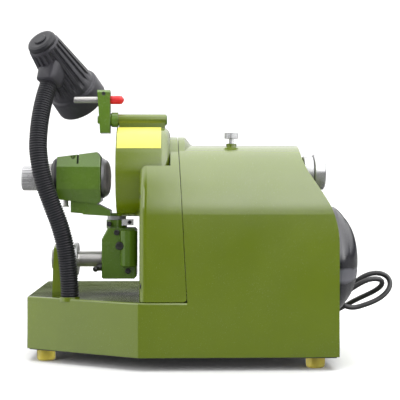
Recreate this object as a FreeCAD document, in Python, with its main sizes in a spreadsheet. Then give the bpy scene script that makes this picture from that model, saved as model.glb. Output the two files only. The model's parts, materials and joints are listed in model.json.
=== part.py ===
import FreeCAD, Part
import math
import os
import Sketcher

# Universal tool grinder for drills and cutters.
# +X runs from the work head to the motor, +Y to the operator's side, +Z up.
# Pieces are drawn with the grinding spindle over x = 0, y = 0 and the bench at z = 0;
# node() then moves each finished piece so that the near right foot stands on the origin.

V = FreeCAD.Vector
doc = FreeCAD.newDocument("tool_grinder")
sheet = doc.addObject("Spreadsheet::Sheet", "Sizes")


class Dim:
    """A length that carries both its value and its spreadsheet expression."""

    def __init__(self, value, text):
        self.value = value
        self.text = text

    def _join(self, other, sign, value):
        text = other.text if isinstance(other, Dim) else repr(other)
        return Dim(value, "(%s %s %s)" % (self.text, sign, text))

    def __add__(self, other):
        return self._join(other, "+", self.value + number(other))

    def __sub__(self, other):
        return self._join(other, "-", self.value - number(other))

    def __mul__(self, other):
        return self._join(other, "*", self.value * number(other))

    def __truediv__(self, other):
        return self._join(other, "/", self.value / number(other))

    def __neg__(self):
        return Dim(-self.value, "(0 - %s)" % self.text)

    def __radd__(self, other):
        return self + other

    def __rmul__(self, other):
        return self * other

    def __rsub__(self, other):
        return -self + other


def number(item):
    return item.value if isinstance(item, Dim) else float(item)


def bind(obj, prop, item):
    """Set a property from a plain number, or tie it to the sheet."""
    if isinstance(item, Dim):
        obj.setExpression(prop, item.text)
    else:
        obj.setExpression(prop, repr(float(item)))


row = 0


def size(alias, value):
    global row
    row += 1
    sheet.set("A%d" % row, alias)
    sheet.set("B%d" % row, str(value))
    sheet.setAlias("B%d" % row, alias)
    return Dim(float(value), "Sizes." + alias)


# ---------------------------------------------------------------- driving dimensions, mm
datum_x = size("origin_foot_across", 138)
datum_y = size("origin_foot_back", -58)
foot_h = size("foot_height", 14.5)
foot_r = size("foot_radius", 11.75)
sheet_t = size("bottom_plate_thickness", 1.5)
base_top = size("base_top", 81)
base_left = size("base_left", -217)
base_right = size("base_right", 163)
base_near = size("base_near", -85)
base_far = size("base_far", 205)
nose_x = size("nose_corner_across", -75)
nose_y = size("nose_corner_back", -5)
wall = size("casting_wall", 7)
arch_r = size("housing_arch_radius", 85)
arch_z = size("housing_arch_height", 185)
joint_low = size("cover_joint_low", -17.5)
joint_lean = size("cover_joint_lean", 10.5)
joint_rise = size("cover_joint_rise", 200)
rear_z = size("rear_arc_start", 150)
rear_arc = size("rear_arc_radius", 105.2)
rear_lean = size("rear_arc_setback", 12)
rear_step = size("rear_arc_height", 48.8)
rear_mid_x = size("rear_hollow_across", 131)
rear_mid_z = size("rear_hollow_height", 231.5)
rear_top_x = size("rear_top_across", 121.5)
rear_top_z = size("rear_top_height", 276)
spindle_z = size("spindle_height", 236.8)
quill_r = size("quill_radius", 25)
sleeve_r = size("quill_sleeve_radius", 32.5)
bump_r = size("spindle_nose_radius", 44)
guard_r = size("guard_radius", 56)
guard_left = size("guard_left", -104)
guard_right = size("guard_right", -38)
wheel_r = size("wheel_radius", 50)
cover_round = size("cover_corner_radius", 9)
cover_gap = size("cover_joint_gap", 0.6)
wheel_bore = size("wheel_bore_radius", 10)
motor_y = size("motor_axis_back", 8)
motor_z = size("motor_axis_height", 125)
motor_r = size("motor_radius", 56)
cowl_r = size("cowl_radius", 67.5)
belt_x = size("belt_plane", -29)
belt_w = size("belt_width", 8)
pulley_s = size("spindle_pulley_pitch_radius", 17.5)
pulley_m = size("motor_pulley_pitch_radius", 32.5)
run = size("running_clearance", 0.04)
rod_r = size("swing_rod_radius", 10)
rod_y = size("swing_rod_back", 20)
rod_z = size("swing_rod_height", 126)
arm_left = size("swing_arm_left", -126)
arm_right = size("swing_arm_right", -80)
swivel_x = size("swivel_axis_across", -106)
arm_top = size("swing_arm_top", 166)
head_z = size("work_spindle_height", 229)
head_left = size("work_head_left", -180)
head_right = size("work_head_right", -125)
tube_z = size("dresser_axis_height", 302.5)
tube_r = size("dresser_tube_radius", 7.25)
pin_z = size("dresser_pin_height", 327.5)
neck_r = size("gooseneck_radius", 11.2)
neck_x = size("gooseneck_foot_across", -161.5)
neck_y = size("gooseneck_foot_back", -24)
lamp_r = size("lamp_mouth_radius", 34.5)
doc.recompute()

parts = {}
AXES = {"X": V(1, 0, 0), "Y": V(0, 1, 0), "Z": V(0, 0, 1)}
serial = 0


def fresh(word):
    """Give an unlabelled construction piece its own name."""
    global serial
    serial += 1
    return "%s_%d" % (word, serial)


def node(name, obj):
    """Finish a piece: give it its name and move it so that the near right foot is the origin."""
    piece = doc.addObject("Part::Compound", fresh("piece"))
    piece.Links = [obj]
    piece.Label = name
    bind(piece, "Placement.Base.x", -datum_x)
    bind(piece, "Placement.Base.y", -datum_y)
    parts[name] = piece
    return obj


def move(obj, x=0, y=0, z=0):
    bind(obj, "Placement.Base.x", x)
    bind(obj, "Placement.Base.y", y)
    bind(obj, "Placement.Base.z", z)
    return obj


def turn(obj, axis):
    """Point a piece drawn along +Z along another axis."""
    obj.Placement = FreeCAD.Placement(V(0, 0, 0), FreeCAD.Rotation(V(0, 0, 1), axis))
    return obj


def rod(radius, length, axis, x=0, y=0, z=0):
    piece = doc.addObject("Part::Cylinder", fresh("rod"))
    bind(piece, "Radius", radius)
    bind(piece, "Height", length)
    turn(piece, AXES[axis] if isinstance(axis, str) else axis)
    return move(piece, x, y, z)


def cone(radius1, radius2, length, axis, x=0, y=0, z=0):
    piece = doc.addObject("Part::Cone", fresh("cone"))
    bind(piece, "Radius1", radius1)
    bind(piece, "Radius2", radius2)
    bind(piece, "Height", length)
    turn(piece, AXES[axis] if isinstance(axis, str) else axis)
    return move(piece, x, y, z)


def ball(radius, x, y, z):
    piece = doc.addObject("Part::Sphere", fresh("ball"))
    bind(piece, "Radius", radius)
    return move(piece, x, y, z)


def block(x1, x2, y1, y2, z1, z2):
    """A box from its low corner to its high corner."""
    piece = doc.addObject("Part::Box", fresh("block"))
    for prop, low, high in (("Length", x1, x2), ("Width", y1, y2), ("Height", z1, z2)):
        bind(piece, prop, Dim(number(high), text_of(high)) - low)
    return move(piece, x1, y1, z1)


def text_of(item):
    return item.text if isinstance(item, Dim) else repr(float(item))


def fuse(*pieces):
    piece = doc.addObject("Part::MultiFuse", fresh("fuse"))
    piece.Shapes = list(pieces)
    piece.Refine = True
    return piece


def group(*pieces):
    """Several identical solids that stay separate."""
    piece = doc.addObject("Part::Compound", fresh("group"))
    piece.Links = list(pieces)
    return piece


def cut(base, *tools):
    piece = doc.addObject("Part::Cut", fresh("cut"))
    piece.Base = base
    piece.Tool = tools[0] if len(tools) == 1 else fuse(*tools)
    piece.Refine = True
    return piece


def common(*pieces):
    piece = doc.addObject("Part::MultiCommon", fresh("common"))
    piece.Shapes = list(pieces)
    piece.Refine = True
    return piece


def arc_between(start, end, radius):
    """The short arc from start to end; a positive radius bulges to the right of travel."""
    chord = end - start
    mid = (start + end) * 0.5
    reach = math.sqrt(max(radius * radius - (chord.Length / 2) ** 2, 0))
    side = V(chord.y, -chord.x, 0).normalize()
    sign = 1 if radius > 0 else -1
    centre = mid - side * (reach * sign)
    top = centre + side * (abs(radius) * sign)
    return Part.Arc(start, top, end)


def drawn(body, plane, outline):
    """A closed sketch; each corner is (across, up) or (across, up, radius of the arc that leads to it)."""
    sketch = body.newObject("Sketcher::SketchObject", fresh("sketch"))
    for feature in body.Origin.OriginFeatures:
        if feature.Role == plane:
            sketch.AttachmentSupport = [(feature, "")]
    sketch.MapMode = "FlatFace"
    corners = [V(number(point[0]), number(point[1]), 0) for point in outline]
    count = len(corners)
    order = []
    for index in range(count):
        after = (index + 1) % count
        bend = outline[after][2] if len(outline[after]) > 2 else None
        if bend is None:
            sketch.addGeometry(Part.LineSegment(corners[index], corners[after]))
            order.append((1, 2))
            continue
        sketch.addGeometry(arc_between(corners[index], corners[after], number(bend)))
        begins = (sketch.getPoint(index, 1) - corners[index]).Length < 1e-6
        order.append((1, 2) if begins else (2, 1))
    for index in range(count):
        after = (index + 1) % count
        sketch.addConstraint(
            Sketcher.Constraint("Coincident", index, order[index][1], after, order[after][0]))
    for index, point in enumerate(outline):
        for kind, item in (("DistanceX", point[0]), ("DistanceY", point[1])):
            spot = sketch.addConstraint(
                Sketcher.Constraint(kind, -1, 1, index, order[index][0], number(item)))
            if isinstance(item, Dim):
                sketch.setExpression("Constraints[%d]" % spot, item.text)
        if len(point) > 2:
            before = (index - 1) % count
            spot = sketch.addConstraint(
                Sketcher.Constraint("Radius", before, abs(number(point[2]))))
            if isinstance(point[2], Dim) and point[2].value > 0:
                sketch.setExpression("Constraints[%d]" % spot, point[2].text)
    return sketch


def slab(plane, outline, length, x=0, y=0, z=0):
    """A straight extrusion: up from XY, to +X from YZ, to +Y from XZ."""
    body = doc.addObject("PartDesign::Body", fresh("slab"))
    sketch = drawn(body, plane, outline)
    pad = body.newObject("PartDesign::Pad", fresh("pad"))
    pad.Profile = sketch
    bind(pad, "Length", length)
    pad.Reversed = plane == "XZ_Plane"
    sketch.Visibility = False
    return move(body, x, y, z)


def turned(axis, outline, x=0, y=0, z=0):
    """A solid of revolution; corners are (along the axis, radius)."""
    body = doc.addObject("PartDesign::Body", fresh("turned"))
    if axis == "X":
        sketch = drawn(body, "XZ_Plane", outline)
    else:
        swapped = [(point[1], point[0]) + tuple(point[2:]) for point in outline]
        sketch = drawn(body, "XZ_Plane" if axis == "Z" else "XY_Plane", swapped)
    spin = body.newObject("PartDesign::Revolution", fresh("spin"))
    spin.Profile = sketch
    spin.ReferenceAxis = (sketch, ["H_Axis" if axis == "X" else "V_Axis"])
    spin.Angle = 360
    sketch.Visibility = False
    return move(body, x, y, z)


def ring(axis, inner, outer, low, high, x=0, y=0, z=0):
    return turned(axis, [(low, inner), (high, inner), (high, outer), (low, outer)], x, y, z)


def around(count, make, start=0.0):
    """Call make(cos, sin) for evenly spaced directions."""
    step = 2 * math.pi / count
    return [make(math.cos(start + step * i), math.sin(start + step * i)) for i in range(count)]


def softened(obj, radius, test):
    """Round the edges whose middle point passes the test."""
    doc.recompute()
    piece = doc.addObject("Part::Fillet", fresh("softened"))
    piece.Base = obj
    chosen = []
    for index, edge in enumerate(obj.Shape.Edges):
        middle = edge.valueAt((edge.FirstParameter + edge.LastParameter) / 2)
        if test(middle, edge):
            chosen.append((index + 1, float(radius), float(radius)))
    piece.Edges = chosen
    doc.recompute()
    return piece


def upright(edge):
    ends = edge.Vertexes
    return len(ends) == 2 and abs((ends[1].Point - ends[0].Point).normalize().z) > 0.99


# ---------------------------------------------------------------- casting
HALF_LEFT = 0.584    # tangent of half the turn at the nose's outer corner
HALF_RIGHT = 0.262   # tangent of half the turn at the nose's inner corner


def base_outline(inset):
    """Plan of the base: a rectangle with its near left corner cut away in a long slant."""
    return [
        (base_left + inset, nose_y + inset * HALF_LEFT),
        (nose_x + inset * HALF_RIGHT, base_near + inset),
        (base_right - inset, base_near + inset),
        (base_right - inset, base_far - inset),
        (base_left + inset, base_far - inset)]


def joint_at(height):
    """Left end of the housing, a joint plane with casting draft."""
    return joint_low - (height - base_top) * joint_lean / joint_rise


def housing(inset, left_inset, low):
    """Round-topped housing block with its rear end curving back to the ridge."""
    radius = arch_r - inset
    arch = slab("YZ_Plane", [
        (-radius, low), (radius, low), (radius, arch_z),
        (0, arch_z + radius, radius), (-radius, arch_z, radius)],
        base_right - base_left, base_left)
    bend_x = base_right - rear_lean - inset
    profile = slab("XZ_Plane", [
        (joint_at(low) + left_inset, low),
        (base_right - inset, low),
        (base_right - inset, rear_z),
        (bend_x, rear_z + rear_step, rear_arc),
        (rear_mid_x - inset, rear_mid_z),
        (rear_top_x - inset, rear_top_z - 14, -61),
        (rear_top_x - inset, rear_top_z),
        (joint_at(rear_top_z) + left_inset, rear_top_z)],
        arch_r * 4, 0, arch_r * -2, 0)
    return common(arch, profile)


skirt_z = foot_h + sheet_t
floor_z = base_top - wall
slab_outer = slab("XY_Plane", base_outline(0), base_top - skirt_z, 0, 0, skirt_z)
slab_outer = softened(slab_outer, 4, lambda p, e: upright(e) and p.x < 100)
slab_outer = softened(slab_outer, 2.5, lambda p, e: p.z > 80 and (p.x < -60 or p.y > 100))
shell_outer = housing(0, 0, base_top - 4)

PED_L = -185
PED_R = -160
pedestal = slab("YZ_Plane", [
    (rod_y - 30, base_top - 5), (rod_y + 30, base_top - 5), (rod_y + 30, base_top + 6),
    (rod_y + 18, rod_z), (rod_y, rod_z + 18, 18), (rod_y - 18, rod_z, 18),
    (rod_y - 30, base_top + 6)], PED_R - PED_L, PED_L)
lamp_boss = rod(neck_r + 1.6, 5.5, "Z", neck_x, neck_y, base_top - 4)
bump_root = common(
    turned("X", [
        (-40, 0), (-10, 0), (-10, 33), (-12.5, 35), (-19.5, bump_r - 0.4), (-20.4, bump_r),
        (-40, bump_r)], 0, 0, spindle_z),
    slab("XZ_Plane", [
        (joint_at(190), 190), (60, 190), (60, 300), (joint_at(300), 300)], 200, 0, -100, 0))
sleeve = rod(sleeve_r, 145, "X", -20, 0, spindle_z)
motor_pad = rod(motor_r, 12, "X", -14, motor_y, motor_z)
cowl_pad = rod(cowl_r + 5, 20, "X", 145, motor_y, motor_z)
foot_spots = [(-194, 4), (138, -58), (138, 178), (-190, 178)]
foot_pads = [rod(9, base_top - skirt_z, "Z", x, y, skirt_z) for x, y in foot_spots]
foot_pads.append(block(130, base_right - 3, base_near + 3, -58, skirt_z, base_top))

slab_hollow = slab("XY_Plane", base_outline(wall), floor_z - skirt_z + 1, 0, 0, skirt_z - 1)
shell_hollow = housing(wall, wall + 5, floor_z - 20)
hollow = cut(fuse(slab_hollow, shell_hollow), sleeve, motor_pad, cowl_pad, *foot_pads)
outer = fuse(slab_outer, shell_outer, pedestal, lamp_boss, bump_root)

cover_screw_spots = [(-77, 100), (77, 100), (-73, 205), (73, 205)]
MOTOR_BOLTS = 50.8
motor_screw_spots = [
    (motor_y + MOTOR_BOLTS * a, motor_z + MOTOR_BOLTS * b)
    for a, b in around(4, lambda c, s: (c, s), math.pi / 4)]
CORD_R = 3.4
CORD_Y = 112
CORD_Z = 58
PANEL_Z = 48
LOCK_X = 39
LOCK_Y = -10
LOCK_TIP = 260.8
knob_x = 130
casting = cut(
    outer, hollow,
    rod(quill_r + run, 166, "X", -60, 0, spindle_z),                       # quill bore
    rod(8 + run, 60, "X", 80, 0, spindle_z),                               # feed screw bore
    rod(24, 60, "X", knob_x - 1, 0, spindle_z),                            # room for the dial
    rod(28, 34, "X", -35, motor_y, motor_z),                               # motor shaft
    rod(motor_r + 2, 40, "X", 140, motor_y, motor_z),                      # motor entry
    rod(cowl_r + 0.6, 30, "X", 155, motor_y, motor_z),                     # cowl seat
    rod(rod_r + run, 60, "X", PED_L - 10, rod_y, rod_z),                   # swing rod
    rod(neck_r + 0.2, 20, "Z", neck_x, neck_y, base_top - 4),              # lamp socket
    rod(3.1, 60, "Z", LOCK_X, LOCK_Y, spindle_z),                          # quill lock
    slab("YZ_Plane", [                                                     # belt recess
        (-66, 95), (66, 95), (66, arch_z), (0, arch_z + 66, 66), (-66, arch_z, 66)], 30, -50),
    *[rod(2.5, 26, "X", -35, y, z) for y, z in cover_screw_spots],
    *[rod(2.2, 40, "X", -30, y, z) for y, z in motor_screw_spots],
    *[rod(4.2, 9, "X", -25, y, z) for y, z in motor_screw_spots],
    rod(CORD_R + 3.1, 30, "X", base_right - 20, CORD_Y, CORD_Z),           # cord gland
    block(70, 126, base_far - 20, base_far + 5, PANEL_Z - 14, PANEL_Z + 14),  # switch
    *[rod(2.5, 30, "Z", x, y, skirt_z - 1) for x, y in foot_spots])
casting_bosses = (
    cut(rod(6.5, 8, "Z", LOCK_X, LOCK_Y, arch_z + arch_r - 6), rod(3.1, 20, "Z", LOCK_X, LOCK_Y, 255)))
node("base_casting", fuse(casting, casting_bosses))


# ---------------------------------------------------------------- belt cover
cover_x = nose_x
COVER_TOP = 244
cover_t = 4


def cover_block(inset, gap, low_round):
    """Arch section in front of the joint plane, cut low where it clears the wheel guard."""
    low_z = base_top + inset
    radius = arch_r - inset
    outline = [
        (-radius, base_top + inset), (radius, base_top + inset), (radius, arch_z),
        (0, arch_z + radius, radius), (-radius, arch_z, radius)]
    arch = slab("YZ_Plane", outline, 200, cover_x + inset)
    limit = slab("XZ_Plane", [
        (cover_x + inset, low_z),
        (joint_at(low_z) - gap - low_round, low_z),
        (joint_at(low_z + low_round) - gap, low_z + low_round, low_round),
        (joint_at(rear_top_z) - gap, rear_top_z),
        (guard_right + inset, rear_top_z),
        (guard_right + inset, COVER_TOP - inset),
        (cover_x + inset, COVER_TOP - inset)], 400, 0, -200, 0)
    return common(arch, limit)


cover_outer = cover_block(cover_gap, cover_gap, 4)
nose = common(
    rod(bump_r, 30, "X", guard_right, 0, spindle_z),
    slab("XZ_Plane", [
        (joint_at(190) - cover_gap, 190), (-60, 190), (-60, 300), (joint_at(300) - cover_gap, 300)],
        200, 0, -100, 0))
nose_hollow = rod(bump_r - cover_t, 40, "X", guard_right + 3.5, 0, spindle_z)
guard_room = rod(guard_r + 1.5, 80, "X", guard_right - 80, 0, spindle_z)
guard_wall = rod(guard_r + 5, 80, "X", guard_right - 80 + 3.5, 0, spindle_z)
cover_hollow = cut(cover_block(cover_t, 0, 1), guard_wall)
thirds = around(3, lambda c, s: (c, s), math.pi / 2)
cover_lugs = [rod(7, 80, "X", cover_x, y, z) for y, z in cover_screw_spots]
cover_body = cut(
    fuse(cut(fuse(softened(cover_outer, cover_round.value, lambda p, e: p.x < -73 and p.z > 85), nose),
             cover_hollow, nose_hollow),
         common(fuse(*cover_lugs), cover_block(3, 0.02, 1))),
    guard_room,
    rod(25.5, 10, "X", guard_right - 2, 0, spindle_z),
    *[rod(2.1, 10, "X", guard_right - 2, 34 * c, spindle_z + 34 * s) for c, s in thirds],
    *[rod(2.6, 80, "X", cover_x - 5, y, z) for y, z in cover_screw_spots],
    *[rod(4.7, 10, "X", cover_x - 4, y, z) for y, z in cover_screw_spots])
node("belt_cover", cover_body)


def screw(axis, x, y, z, radius, length, head_r, head_h):
    """Socket head screw: the head sits at the given point, the shank runs on along the axis."""
    return turned(axis, [
        (0, 0), (length, 0), (length, radius), (0, radius), (0, head_r),
        (-head_h + 0.5, head_r), (-head_h, head_r - 0.5), (-head_h, head_r * 0.5),
        (-head_h * 0.4, head_r * 0.5), (-head_h * 0.4, 0)], x, y, z)


casing_screws = [screw("X", cover_x + 6, y, z, 2.5, 59, 4.5, 4.5) for y, z in cover_screw_spots]


def fin(length, thick, depth, radius, x, y, z, angle):
    """A radial fin beside an axis along X, turned round it by an angle."""
    piece = doc.addObject("Part::Box", fresh("fin"))
    bind(piece, "Length", length)
    bind(piece, "Width", thick)
    bind(piece, "Height", depth)
    hub = FreeCAD.Placement(V(x, number(y), number(z)), FreeCAD.Rotation(V(1, 0, 0), angle))
    piece.Placement = hub.multiply(FreeCAD.Placement(V(0, -thick / 2, radius), FreeCAD.Rotation()))
    return piece


# ---------------------------------------------------------------- stand
plate = slab("XY_Plane", base_outline(3), sheet_t, 0, 0, foot_h)
node("bottom_plate", cut(plate, *[rod(2.6, 10, "Z", x, y, foot_h - 4) for x, y in foot_spots]))
node("feet", group(*[
    turned("Z", [
        (0, 0), (0, foot_r - 1.6), (1.5, foot_r - 0.4), (4, foot_r), (foot_h - 1.5, foot_r),
        (foot_h, foot_r - 1), (foot_h, 2.5), (5, 2.5), (5, 0)], x, y, 0) for x, y in foot_spots]))
casing_screws += [rod(2.5, 31, "Z", x, y, 5) for x, y in foot_spots]

# ---------------------------------------------------------------- wheel guard and dresser
guard_t = 3
guard_shell = turned("X", [
    (guard_left, guard_r - guard_t), (guard_right - guard_t, guard_r - guard_t),
    (guard_right - guard_t, 25.5), (guard_right, 25.5), (guard_right, guard_r - 10),
    (guard_right - 10, guard_r, 10), (guard_left, guard_r)], 0, 0, spindle_z)
tube_l = -103
TUBE_R = -43
tube_web = block(tube_l + 1, TUBE_R - 1, -6, 6, spindle_z + guard_r - 2, tube_z)
dresser_tube = cut(
    fuse(rod(tube_r, TUBE_R - tube_l, "X", tube_l, 0, tube_z), tube_web),
    rod(guard_r, 80, "X", -110, 0, spindle_z),
    rod(4 + run, 80, "X", -110, 0, tube_z))
node("wheel_guard", fuse(cut(
    guard_shell, *[rod(2.1, 20, "X", -50, 34 * c, spindle_z + 34 * s) for c, s in thirds]),
    dresser_tube))
casing_screws += [
    screw("X", guard_right - guard_t, 34 * c, spindle_z + 34 * s, 2.1, 6.4, 3.5, 1.6) for c, s in thirds]
node("casing_screws", group(*casing_screws))
label = common(
    ring("X", guard_r, guard_r + 0.4, -102.5, -49, 0, 0, spindle_z),
    slab("YZ_Plane", [(-62, 20), (-8, 53), (-16, 70), (-80, 36)], 60, -106, 0, spindle_z))
node("warning_label", label)
node("dresser_shaft", turned("X", [
    (-129, 0), (TUBE_R + 1.5, 0), (TUBE_R + 1.5, 6), (TUBE_R + run, 6), (TUBE_R + run, 4),
    (tube_l - run, 4), (tube_l - run, 9.5), (-110.5, 9.5), (-112, 8), (-113, 8), (-113, 5),
    (-129, 5)], 0, 0, tube_z))
ARM_L = -129
ARM_R = -113
arm_plan = [
    (-9.5, tube_z - 17), (9.5, tube_z - 17), (9.5, tube_z + 34), (6.5, tube_z + 37),
    (-6.5, tube_z + 37), (-9.5, tube_z + 34)]
arm_lean = [
    (ARM_L + 3.5, tube_z - 17), (ARM_R, tube_z - 17), (ARM_R, tube_z + 37), (ARM_L, tube_z + 37)]
dresser_arm = cut(
    common(slab("YZ_Plane", arm_plan, ARM_R - ARM_L, ARM_L), slab("XZ_Plane", arm_lean, 20, 0, -10)),
    rod(5, 40, "X", ARM_L - 10, 0, tube_z),
    rod(4 + run, 40, "X", ARM_L - 10, 0, pin_z),
    rod(2.5, 20, "Y", -121, -14, pin_z + 7))
node("dresser_arm", dresser_arm)
node("dresser_set_screw", turned("Y", [
    (-9, 0), (4, 0), (4, 2.5), (-9.2, 2.5), (-9.2, 1.2), (-7, 1.2), (-7, 0)], -121, 0, pin_z + 7))
node("dresser_pin", turned("X", [
    (-159, 0), (-99, 0), (-101, 2.2), (-103, 4), (-158, 4), (-159, 3)], 0, 0, pin_z))
node("dresser_cap", turned("X", [
    (-113 + run, 4.02), (-103, 4.02), (-101, 2.6), (-98.8, 0.3), (-98.8, 0), (-96, 0), (-96, 1.5),
    (-98.5, 5), (-101, 5.4), (-111.5, 5.4), (-113 + run, 5)], 0, 0, pin_z))

# ---------------------------------------------------------------- grinding spindle
BEARING_R = 17.5
node("grinding_wheel", turned("X", [
    (-98, 36), (-63, 32), (-63, wheel_bore + 0.02), (-48, wheel_bore + 0.02), (-48, 42),
    (-58, wheel_r), (-97, wheel_r), (-98, wheel_r - 1)], 0, 0, spindle_z))
node("wheel_flange", turned("X", [
    (-48, wheel_bore), (-43.5, wheel_bore), (-43.5, 15), (-45, 24), (-48, 24)], 0, 0, spindle_z))
nut = slab("YZ_Plane", around(6, lambda c, s: (11 * c, 11 * s)), 8, -73, 0, spindle_z)
node("wheel_nut", cut(
    fuse(nut, rod(20, 2, "X", -65, 0, spindle_z)),
    rod(8, 30, "X", -80, 0, spindle_z)))
node("spindle_shaft", turned("X", [
    (-78, 0), (84, 0), (84, 8.5), (-15, 8.5), (-15, 10), (-20.5, 10), (-20.5, 9), (-37.5, 9),
    (-37.5, 14), (-43.5, 14), (-43.5, wheel_bore), (-63, wheel_bore), (-63, 8), (-77, 8),
    (-78, 7)], 0, 0, spindle_z))
node("spindle_pulley", cut(
    turned("X", [
        (-37.5, 9), (-20.5, 9), (-20.5, 19), (-21.3, 19), (-21.3, pulley_s - 1.5 - run),
        (-36.7, pulley_s - 1.5 - run), (-36.7, 19), (-37.5, 19)], 0, 0, spindle_z),
    rod(1.6, 12, "Z", belt_x, 0, spindle_z + 8.5)))
node("spindle_bearings", group(*[
    ring("X", 8.5, BEARING_R, x, x + 10, 0, 0, spindle_z) for x in (-15, 74)]))
QUILL_END = 100
node("quill", turned("X", [
    (-18, BEARING_R - 3), (-15, BEARING_R - 3), (-15, BEARING_R), (-5, BEARING_R),
    (-5, BEARING_R - 3), (74, BEARING_R - 3), (74, BEARING_R), (86, BEARING_R),
    (86, 6 + run), (QUILL_END, 6 + run), (QUILL_END, quill_r - 1), (QUILL_END - 1, quill_r),
    (-17, quill_r), (-18, quill_r - 1)], 0, 0, spindle_z))
feed_screw = turned("X", [
    (90, 0), (156, 0), (156, 7), (128, 7), (128, 8), (105, 8), (105, 6), (91, 6), (90, 5)],
    0, 0, spindle_z)
dial = turned("X", [
    (knob_x, 7), (143, 7), (143, 19), (142, 20), (131, 20), (knob_x, 19)], 0, 0, spindle_z)
node("feed_dial", cut(dial, *[
    fin(4, 0.5, 2, 19.6, 132, 0, spindle_z, 9 * index) for index in range(40)]))
knob_ring = turned("X", [
    (143, 7), (157, 7), (157, 20.5), (155.5, 22.5), (144, 22.5), (143, 21.5)], 0, 0, spindle_z)
node("feed_knob", fuse(feed_screw, knob_ring))
node("quill_lock_screw", fuse(
    rod(3, 14, "Z", LOCK_X, LOCK_Y, LOCK_TIP + 4),
    rod(2.4, 5, "Z", LOCK_X, LOCK_Y, LOCK_TIP),
    cut(rod(8.7, 7, "Z", LOCK_X, LOCK_Y, 278.5), *around(
        24, lambda c, s: rod(0.7, 9, "Z", LOCK_X + 8.9 * c, LOCK_Y + 8.9 * s, 277.5)))))

# ---------------------------------------------------------------- motor
MOTOR_L = -2
node("motor_frame", cut(
    turned("X", [
        (MOTOR_L, 27), (MOTOR_L - 6, 27), (MOTOR_L - 6, 16), (MOTOR_L + 6, 16), (MOTOR_L + 6, 20.1),
        (MOTOR_L + 8, 20.1), (MOTOR_L + 8, 40), (MOTOR_L + 18, 53.5), (136, 53.5), (136, motor_r),
        (MOTOR_L, motor_r)], 0, motor_y, motor_z),
    *[rod(2.3, 40, "X", -20, motor_y + 50.8 * c, motor_z + 50.8 * s) for c, s in
      around(4, lambda c, s: (c, s), math.pi / 4)]))
node("motor_rear_bell", cut(
    turned("X", [
        (136, 53), (136, motor_r), (148, motor_r), (152, 40), (152, 9), (149, 9), (149, 16),
        (137, 16), (137, 20), (146, 20), (146, 38), (143, 53)], 0, motor_y, motor_z),
    *[rod(2.3, 40, "X", 130, motor_y + 50.8 * c, motor_z + 50.8 * s) for c, s in
      around(4, lambda c, s: (c, s), math.pi / 4)]))
node("motor_stator", cut(
    rod(53.5, 70, "X", 35, motor_y, motor_z), rod(30, 90, "X", 25, motor_y, motor_z),
    *[rod(3.2, 90, "X", 25, motor_y + 50.8 * c, motor_z + 50.8 * s) for c, s in
      around(4, lambda c, s: (c, s), math.pi / 4)],
    *[rod(3, 90, "X", 25, motor_y + 34 * c, motor_z + 34 * s) for c, s in
      around(24, lambda c, s: (c, s))]))
node("motor_rotor", turned("X", [
    (-38, 0), (176, 0), (176, 7), (149, 7), (149, 8), (137, 8), (137, 9), (104, 9), (104, 29.6),
    (36, 29.6), (36, 9), (4, 9), (4, 8), (-37, 8), (-38, 7)], 0, motor_y, motor_z))
node("motor_bearings", group(*[
    ring("X", 8.03, 16, x, x + 12, 0, motor_y, motor_z) for x in (-8, 137)]))
node("motor_pulley", turned("X", [
    (-37.5, 8), (-20.5, 8), (-20.5, 35), (-22, 35), (-22, pulley_m - 1.5 - run),
    (-36, pulley_m - 1.5 - run), (-36, 35), (-37.5, 35)], 0, motor_y, motor_z))
fan_blades = [fin(13.5, 2, 38, 12, 160, motor_y, motor_z, 40 * index) for index in range(9)]
node("motor_fan", fuse(
    ring("X", 7, 14, 158, 174, 0, motor_y, motor_z),
    ring("X", 7, 52, 158, 160.5, 0, motor_y, motor_z), *fan_blades))
COWL_X = 155
node("motor_cowl", turned("X", [
    (COWL_X, cowl_r - 2.5), (169, cowl_r - 2.5), (180, 54, -40), (192, 34, -60), (196.3, 6, -90),
    (196.3, 0), (199, 0), (199, 6), (194.3, 35.5, 90), (182, 56, 60), (170.5, cowl_r, 40),
    (COWL_X, cowl_r)],
    0, motor_y, motor_z))
node("motor_screws", group(*[
    screw("X", -16, motor_y + 50.8 * c, motor_z + 50.8 * s, 2.2, 170, 4, 3.5) for c, s in
    around(4, lambda c, s: (c, s), math.pi / 4)]))


def tangent_loop(offset):
    """Outline solid of a belt run round both pulleys, grown by the offset."""
    low = V(motor_y.value, motor_z.value, 0)
    high = V(0, spindle_z.value, 0)
    r_low = pulley_m.value + offset
    r_high = pulley_s.value + offset
    gap = high - low
    along = V(gap.x, gap.y, 0).normalize()
    side = V(along.y, -along.x, 0)
    lean = (r_low - r_high) / gap.Length
    spread = math.sqrt(1 - lean * lean)
    right = along * lean + side * spread
    left = along * lean - side * spread
    corners = [low + left * r_low, low + right * r_low, high + right * r_high, high + left * r_high]
    web = slab("YZ_Plane", [(p.x, p.y) for p in corners], belt_w, belt_x - belt_w / 2)
    return fuse(
        web,
        rod(pulley_m + offset, belt_w, "X", belt_x - belt_w / 2, motor_y, motor_z),
        rod(pulley_s + offset, belt_w, "X", belt_x - belt_w / 2, 0, spindle_z))


node("drive_belt", cut(tangent_loop(1.5), tangent_loop(-1.5)))

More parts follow.
